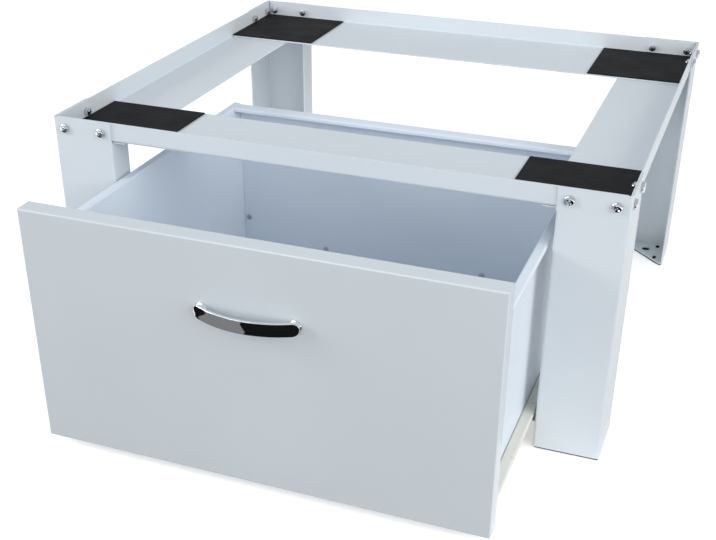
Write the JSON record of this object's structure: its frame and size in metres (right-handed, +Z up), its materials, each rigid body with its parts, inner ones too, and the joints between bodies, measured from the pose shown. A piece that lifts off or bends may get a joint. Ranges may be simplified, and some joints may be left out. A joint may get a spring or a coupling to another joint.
{
  "type": "washer pedestal drawer",
  "caption": "Sheet-metal washing machine pedestal with a shallow tray on folded legs and a drawer on roller slides with a chrome bow handle.",
  "frame": {"origin": "on the floor, under the middle of the whole pedestal with its drawer as far open as in the picture", "axes": "+X to the right seen from the front, +Y to the back, +Z up; the drawer opens towards -Y"},
  "size_m": [0.6374, 0.7722, 0.3],
  "materials": {
    "frame_powder": "satin white powder coat with a faint blue cast and a fine orange peel",
    "drawer_powder": "satin white powder coat inside the drawer",
    "front_powder": "satin white powder coat on the drawer front",
    "pad_rubber": "matte black anti-slip sheet with a fine grain",
    "foot_rubber": "matte black rubber",
    "handle_chrome": "polished chrome",
    "bolt_chrome": "bright plated pan-head bolts",
    "zinc": "zinc-plated screws and rivets",
    "slide_epoxy": "cream-white epoxy coat on the roller slides",
    "roller_nylon": "natural white nylon"
  },
  "bodies": {
    "frame": {"leg_front_left": "frame_powder", "foot_rubber_front_left": "foot_rubber", "tray_pad_front_left": "pad_rubber", "slide_screw_front_left": "zinc", "bolt_front_left_end_0": "bolt_chrome", "bolt_front_left_end_1": "bolt_chrome", "bolt_front_left_side_0": "bolt_chrome", "bolt_front_left_side_1": "bolt_chrome", "leg_front_right": "frame_powder", "foot_rubber_front_right": "foot_rubber", "tray_pad_front_right": "pad_rubber", "slide_screw_front_right": "zinc", "bolt_front_right_end_0": "bolt_chrome", "bolt_front_right_end_1": "bolt_chrome", "bolt_front_right_side_0": "bolt_chrome", "bolt_front_right_side_1": "bolt_chrome", "leg_rear_left": "frame_powder", "foot_rubber_rear_left": "foot_rubber", "tray_pad_rear_left": "pad_rubber", "slide_screw_rear_left": "zinc", "bolt_rear_left_end_0": "bolt_chrome", "bolt_rear_left_end_1": "bolt_chrome", "bolt_rear_left_side_0": "bolt_chrome", "bolt_rear_left_side_1": "bolt_chrome", "leg_rear_right": "frame_powder", "foot_rubber_rear_right": "foot_rubber", "tray_pad_rear_right": "pad_rubber", "slide_screw_rear_right": "zinc", "bolt_rear_right_end_0": "bolt_chrome", "bolt_rear_right_end_1": "bolt_chrome", "bolt_rear_right_side_0": "bolt_chrome", "bolt_rear_right_side_1": "bolt_chrome", "rail_front": "frame_powder", "rail_rear": "frame_powder", "rail_left": "frame_powder", "rail_right": "frame_powder", "slide_frame_left": "slide_epoxy", "slide_frame_right": "slide_epoxy"},
    "drawer": {"slide_drawer_left": "slide_epoxy", "drawer_side_left": "drawer_powder", "box_screw_left": "zinc", "box_rivet_left": "zinc", "handle_screw_left": "zinc", "slide_drawer_right": "slide_epoxy", "drawer_side_right": "drawer_powder", "box_screw_right": "zinc", "box_rivet_right": "zinc", "handle_screw_right": "zinc", "drawer_back": "drawer_powder", "drawer_floor": "drawer_powder", "drawer_front_liner": "drawer_powder", "drawer_front": "front_powder", "handle": "handle_chrome"},
    "roller_frame_left": {"roller_frame_left": "roller_nylon"},
    "roller_drawer_left": {"roller_drawer_left": "roller_nylon"},
    "roller_frame_right": {"roller_frame_right": "roller_nylon"},
    "roller_drawer_right": {"roller_drawer_right": "roller_nylon"}
  },
  "joints": [
    {"name": "drawer_slide", "type": "slide", "parent": "frame", "child": "drawer", "axis": [0, -1, 0], "range_m": [-0.177, 0.15]},
    {"name": "roller_frame_left_turn", "type": "hinge", "parent": "frame", "child": "roller_frame_left", "pos_m": [-0.2377, -0.1426, 0.0302], "axis": [1, 0, 0], "continuous": true},
    {"name": "roller_drawer_left_turn", "type": "hinge", "parent": "drawer", "child": "roller_drawer_left", "pos_m": [-0.2377, 0.0837, 0.0288], "axis": [1, 0, 0], "continuous": true},
    {"name": "roller_frame_right_turn", "type": "hinge", "parent": "frame", "child": "roller_frame_right", "pos_m": [0.2377, -0.1426, 0.0302], "axis": [1, 0, 0], "continuous": true},
    {"name": "roller_drawer_right_turn", "type": "hinge", "parent": "drawer", "child": "roller_drawer_right", "pos_m": [0.2377, 0.0837, 0.0288], "axis": [1, 0, 0], "continuous": true}
  ],
  "couplings": [
    {"joint": "roller_frame_left_turn", "follows": "drawer_slide", "rad_per_m": 105.26},
    {"joint": "roller_drawer_left_turn", "follows": "drawer_slide", "rad_per_m": 105.26},
    {"joint": "roller_frame_right_turn", "follows": "drawer_slide", "rad_per_m": 105.26},
    {"joint": "roller_drawer_right_turn", "follows": "drawer_slide", "rad_per_m": 105.26}
  ]
}
